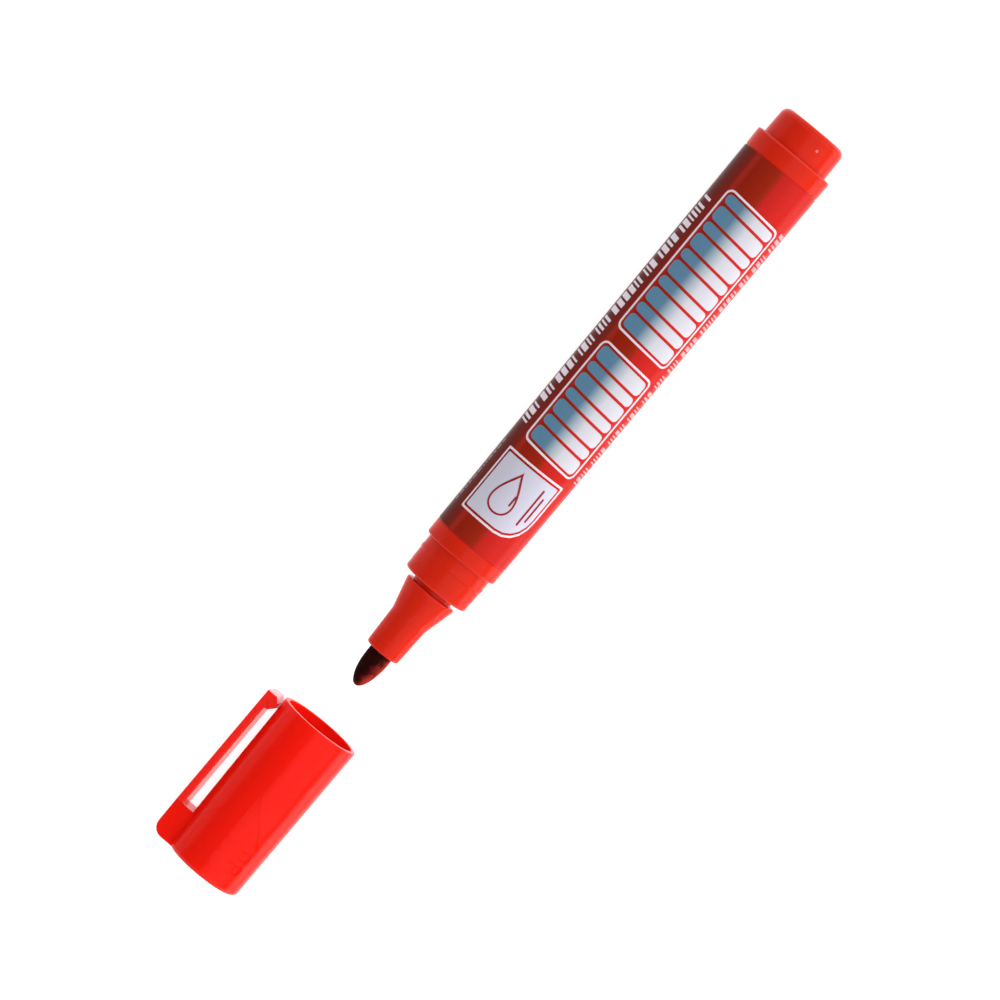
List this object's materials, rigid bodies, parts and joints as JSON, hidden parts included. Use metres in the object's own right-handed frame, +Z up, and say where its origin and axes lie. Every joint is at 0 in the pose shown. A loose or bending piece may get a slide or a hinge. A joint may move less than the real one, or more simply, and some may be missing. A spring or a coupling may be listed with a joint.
{
  "type": "felt-tip marker",
  "caption": "Uncapped felt-tip marker: tapered round barrel with printed band, stepped collar, nose cone and bullet nib, with a clip cap that pushes on.",
  "frame": {"origin": "centre of the rear plug's flat end face, on the pen's axis", "axes": "+X along the pen from the plug to the nib and on to the cap, +Z up with the pen lying on its side, the clip towards -Y and down"},
  "size_m": [0.1859, 0.0213, 0.0175],
  "materials": {
    "body_red": "satin",
    "nose_red": "satin",
    "cap_red": "satin",
    "printed_film": "satin",
    "nib_felt": "matte",
    "ink_fibre": "matte",
    "wrap_film": "gloss",
    "liner_plastic": "satin"
  },
  "bodies": {
    "pen": {"barrel": "body_red", "label_film": "printed_film", "nose_cone": "nose_red", "nib": "nib_felt", "reservoir_core": "ink_fibre", "reservoir_wrap": "wrap_film", "end_plug": "body_red"},
    "liner": {"cap_liner": "liner_plastic"},
    "cap": {"cap_shell": "cap_red"},
    "clip": {"clip": "cap_red"}
  },
  "joints": [
    {"name": "cap_pull_off", "type": "slide", "parent": "pen", "child": "liner", "axis": [1, 0, 0], "range_m": [-0.0423, 0.015]},
    {"name": "cap_turn", "type": "hinge", "parent": "liner", "child": "cap", "pos_m": [0.1678, 0, 0], "axis": [1, 0, 0], "continuous": true},
    {"name": "clip_flex", "type": "hinge", "parent": "cap", "child": "clip", "pos_m": [0.1776, -0.01025, -0.00498], "axis": [0, -0.4371, 0.8994], "range_deg": [0, 6], "stiffness_Nm_per_rad": 0.4}
  ]
}
